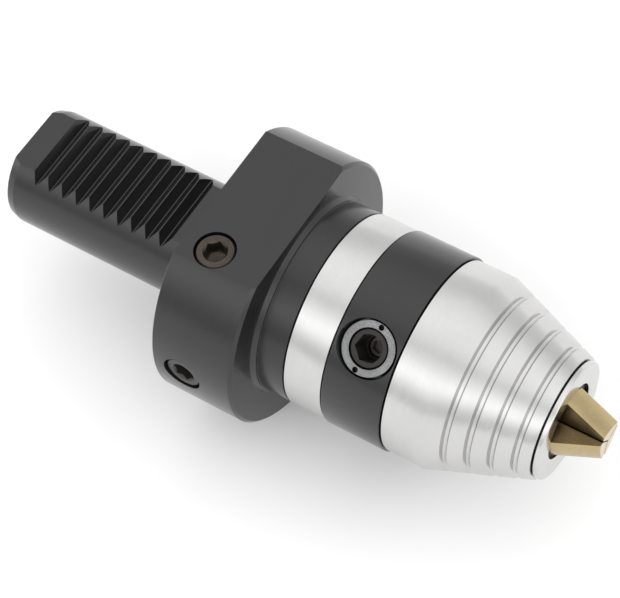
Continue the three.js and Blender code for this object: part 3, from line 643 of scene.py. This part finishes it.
sleeve_start, sleeve_end, sleeve_r = span("nose_sleeve")
housing_rear, housing_front, housing_r = span("gear_housing")
band_start = ring_end + FIT
band_end = sleeve_start - FIT
housing = revolve(
    "gear_housing_turned",
    [
        (housing_rear, 18.3, 0.1),
        (housing_rear, 20.9, 0.1),
        (band_start, 20.9),
        (band_start, housing_r, 0.25),
        (band_end, housing_r, 0.25),
        (band_end, 21.9),
        (housing_front, 21.9, 0.1),
        (housing_front, HOUSING_BORE_R, 0.1),
        (band_end, HOUSING_BORE_R),
        (band_end, 9.9),
        (54.2, 9.9),
        (54.2, 16.6),
        (39.9, 16.6),
        (39.9, 18.3),
    ],
)
bore = revolve(
    "bore",
    [
        (9, 0),
        (9, PINION_BORE_R),
        (20.5, PINION_BORE_R),
        (20.5, NUT_SEAT_R),
        (23.6, NUT_SEAT_R),
        (24.75, NUT_SEAT_R + 0.5),
        (27, NUT_SEAT_R + 0.5),
        (27, 0),
    ],
    96,
    pinion_place,
)
cut(housing, bore)
complete(housing, "chuck_body", ["gear_housing"], black_band)

nut = revolve(
    "pinion_ring_nut_turned",
    [
        (NUT_TOP - 3, NUT_HOLE_R, 0.1),
        (NUT_TOP - 3, NUT_R, 0.1),
        (NUT_TOP, NUT_R, 0.15),
        (NUT_TOP, NUT_HOLE_R, 0.2),
    ],
    96,
    pinion_place,
)
holes = []
for sign in (1, -1):
    reach = SPANNER_CIRCLE_R * sign
    offset = Vector((0, reach * math.sin(SPANNER_ANGLE), reach * math.cos(SPANNER_ANGLE)))
    there = pinion_place @ Matrix.Translation(offset)
    holes.append(rod("pin", SPANNER_HOLE_R, NUT_TOP - 1.6, NUT_TOP + 0.5, there, 32))
cut(nut, *holes)
complete(nut, "chuck_body", ["pinion_ring_nut"], nut_steel)
to_local = pinion_place.inverted()


def in_pin_hole(centre, _normal):
    spot = to_local @ (centre / MM)
    radius = math.hypot(spot.y, spot.z)
    near_pin = abs(radius - SPANNER_CIRCLE_R) < SPANNER_HOLE_R + 0.02 and abs(spot.z) < 1.9
    inside = 21.5 < spot.x < NUT_TOP - 0.02
    on_rim = abs(radius - NUT_R) <= 0.05
    return near_pin and inside and not on_rim


# The faces inside the spanner pin holes get painted shade instead of their bright metal.
paint(nut, painted_hole_shade, in_pin_hole)

pinion = from_node("key_pinion", "drive_pinion")
common(pinion, rod("gear_only", 9, 0, GEAR_TOP, pinion_place, 32))
shaft = revolve(
    "shaft",
    [
        (12.7, 0),
        (12.7, 5.6),
        (13.1, PINION_SHAFT_R),
        (17.75, PINION_SHAFT_R),
        (17.75, 4.75),
        (19.25, 4.75),
        (19.25, PINION_SHAFT_R),
        (20.4, PINION_SHAFT_R, 0.1),
        (20.4, PINION_HEAD_R),
        (PINION_HEAD_TOP, PINION_HEAD_R, 0.25),
        (PINION_HEAD_TOP, 0),
    ],
    96,
    pinion_place,
)
join(pinion, shaft)
socket = rod("socket", KEY_R, 17, 25, pinion_place, 6, KEY_TURN)
mouth = revolve(
    "mouth", [(13.4, 0), (13.4, 2.6), (22.7, 2.6), (24.3, 4.2), (24.3, 0)], 64, pinion_place
)
cut(pinion, socket, mouth)
complete(pinion, "pinion", ["drive_pinion"], pinion_steel)

# ---------- nose ----------
def cone(x):
    return sleeve_r - CONE_SLOPE * (x - CONE_START)


profile = [
    (sleeve_start, 22.2, 0.1),
    (sleeve_start, sleeve_r, 0.2),
    (CONE_START, sleeve_r, 0.4),
]
for x in GROOVES:
    profile += [
        (x - 0.8, cone(x - 0.8), 0.06),
        (x - 0.45, cone(x) - 1.0, 0.35),
        (x + 0.45, cone(x) - 0.9, 0.35),
        (x + 0.8, cone(x + 0.8), 0.06),
    ]
profile += [
    (sleeve_end + 0.12, cone(sleeve_end + 0.12), 0.1),
    (sleeve_end + 0.12, cone(sleeve_end) - SLEEVE_WALL),
    (CONE_START + 0.8, cone(CONE_START + 0.8) - SLEEVE_WALL),
]
sleeve = revolve("nose_sleeve_turned", profile, 256)
complete(sleeve, "chuck_body", ["nose_sleeve"], bright_steel)

cap_rear, cap_end, cap_r = span("nose_cap")
cap = revolve(
    "nose_cap_turned",
    [
        (cap_rear, 9.9),
        (cap_rear, 12.2),
        (cap_rear + 1.18, 12.2),
        (cap_rear + 1.18, cap_r, 0.1),
        (cap_end, cap_r, 0.45),
        (cap_end, NOSE_HOLE_R, 0.18),
        (cap_rear + 1.3, NOSE_HOLE_R),
    ],
)
complete(cap, "chuck_body", ["nose_cap"], cap_steel)
gap_start = sleeve_end + 0.18
gap_end = cap_rear - 0.18
gap_r = cap_r - 0.45
gap_seal = revolve(
    "nose_gap_seal", [(gap_start, 12.5), (gap_start, gap_r), (gap_end, gap_r), (gap_end, 12.5)]
)
complete(gap_seal, "chuck_body", ["nose_seal"], rubber)

# ---------- jaws ----------
for letter, number in (("a", 1), ("b", 2), ("c", 3)):
    jaw = from_node(f"jaw_blade_{number}", f"jaw_{number}")
    break_edges(jaw, 0.07, 25.0)
    complete(jaw, f"jaw_{letter}", [f"jaw_{number}"], gold)
    out = square_to_axis(joints[f"jaw_{letter}_slide"]["axis"])
    # Every jaw face that doesn't face outwards or forwards gets the painted shade.
    paint(jaw, gold_painted_shade, lambda _centre, normal: normal.dot(out) < 0.5 and normal.x < 0.7)
    paint(jaw, gold_tip, lambda _centre, normal: normal.x > 0.7)


# ---------- CAD nodes that stay as they are ----------
def refinish(node, material):
    for each in frame["nodes"][node].material_slots:
        each.material = material


for node, material in (
    ("pinion_screw", screw_steel),
    ("pinion_seal", rubber),
    ("spindle", gear_steel),
    ("spindle_bush", bronze),
    ("race_rear", bearing_steel),
    ("race_front", bearing_steel),
    ("bearing_cage", bronze),
    ("jaw_carrier", gear_steel),
    ("jaw_guide", gear_steel),
):
    refinish(node, material)
for node in frame["nodes"]:
    if node.startswith("bearing_ball"):
        refinish(node, bearing_steel)


# ---------- floor, light and camera ----------
floor_mesh = bpy.data.meshes.new("studio_floor")
half = 4.0
low = cad_box[0][2]
floor_corners = [(-half, -half, low), (half, -half, low), (half, half, low), (-half, half, low)]
floor_mesh.from_pydata(floor_corners, [], [(0, 1, 2, 3)])
floor = bpy.data.objects.new("studio_floor", floor_mesh)
bpy.context.scene.collection.objects.link(floor)
paper = bpy.data.materials.new("pale_paper")
paper.use_nodes = True
paper_shader = paper.node_tree.nodes["Principled BSDF"]
paper_noise = add(
    paper.node_tree,
    "ShaderNodeTexNoise",
    {"Vector": add(paper.node_tree, "ShaderNodeTexCoord").outputs["Object"], "Scale": 40.0},
).outputs[0]
paper.node_tree.links.new(
    blend_colours(paper.node_tree, paper_noise, (0.93, 0.93, 0.93, 1), (0.96, 0.96, 0.96, 1)),
    paper_shader.inputs["Base Color"],
)
paper_shader.inputs["Roughness"].default_value = 0.9
floor_mesh.materials.append(paper)

# Studio light as a plain sky: light panels by angle around the chuck axis, a little brighter
# in front of and behind the chuck.
world = bpy.data.worlds.new("studio")
bpy.context.scene.world = world
world.use_nodes = True
sky = world.node_tree
sky.nodes.clear()
way = add(sky, "ShaderNodeTexCoord").outputs["Generated"]
parts = add(sky, "ShaderNodeSeparateXYZ", {0: way})
angle = add(
    sky, "ShaderNodeMath", {0: parts.outputs[2], 1: parts.outputs[1]}, operation="ARCTAN2"
).outputs[0]
share = remap(sky, angle, -math.pi, math.pi, 0.0, 1.0)
panels = (  # degrees around the axis, brightness
    (-180, 0.9),
    (-90, 0.8),
    (-35, 0.6),
    (-10, 0.9),
    (0, 1.3),
    (5, 1.2),
    (10, 0.95),
    (18, 0.9),
    (30, 0.85),
    (42, 1.0),
    (54, 1.2),
    (66, 1.3),
    (78, 1.37),
    (90, 1.32),
    (101, 1.25),
    (108, 1.1),
    (114, 0.9),
    (121, 1.1),
    (133, 1.45),
    (142, 1.8),
    (150, 1.7),
    (158, 1.3),
    (166, 0.95),
    (173, 0.8),
    (180, 0.85),
)
PEAK = 4.0  # brightness that a white stop of the ramp stands for
ramp = add(sky, "ShaderNodeValToRGB", {0: share})
band = ramp.color_ramp
while len(band.elements) > 1:
    band.elements.remove(band.elements[-1])
for k, (degrees, level) in enumerate(panels):
    stop = band.elements[0] if k == 0 else band.elements.new((degrees + 180) / 360)
    stop.position = (degrees + 180) / 360
    stop.color = (level / PEAK, level / PEAK, level / PEAK, 1)
lengthwise = add(sky, "ShaderNodeMath", {0: parts.outputs[0]}, operation="ABSOLUTE").outputs[0]
front = remap(sky, lengthwise, 0.6, 0.8, PEAK, PEAK * 1.25)
glow = add(sky, "ShaderNodeBackground", {0: ramp.outputs[0], 1: front})
add(sky, "ShaderNodeOutputWorld", {0: glow.outputs[0]})
bpy.context.scene.view_settings.view_transform = "Standard"

camera_data = bpy.data.cameras.new("camera")
camera_data.sensor_width = 36.0
camera_data.lens = 123.39
camera_data.clip_start = 0.01
camera_data.clip_end = 20.0
camera = bpy.data.objects.new("camera", camera_data)
bpy.context.scene.collection.objects.link(camera)
right = (0.84271, 0.53229, -0.08070)
up = (-0.41414, 0.73670, 0.53456)
back = (0.34399, -0.41707, 0.84126)
spot = (0.195792, -0.211229, 0.423951)
camera.matrix_world = Matrix(
    [(right[i], up[i], back[i], spot[i]) for i in range(3)] + [(0, 0, 0, 1)]
)
bpy.context.scene.camera = camera
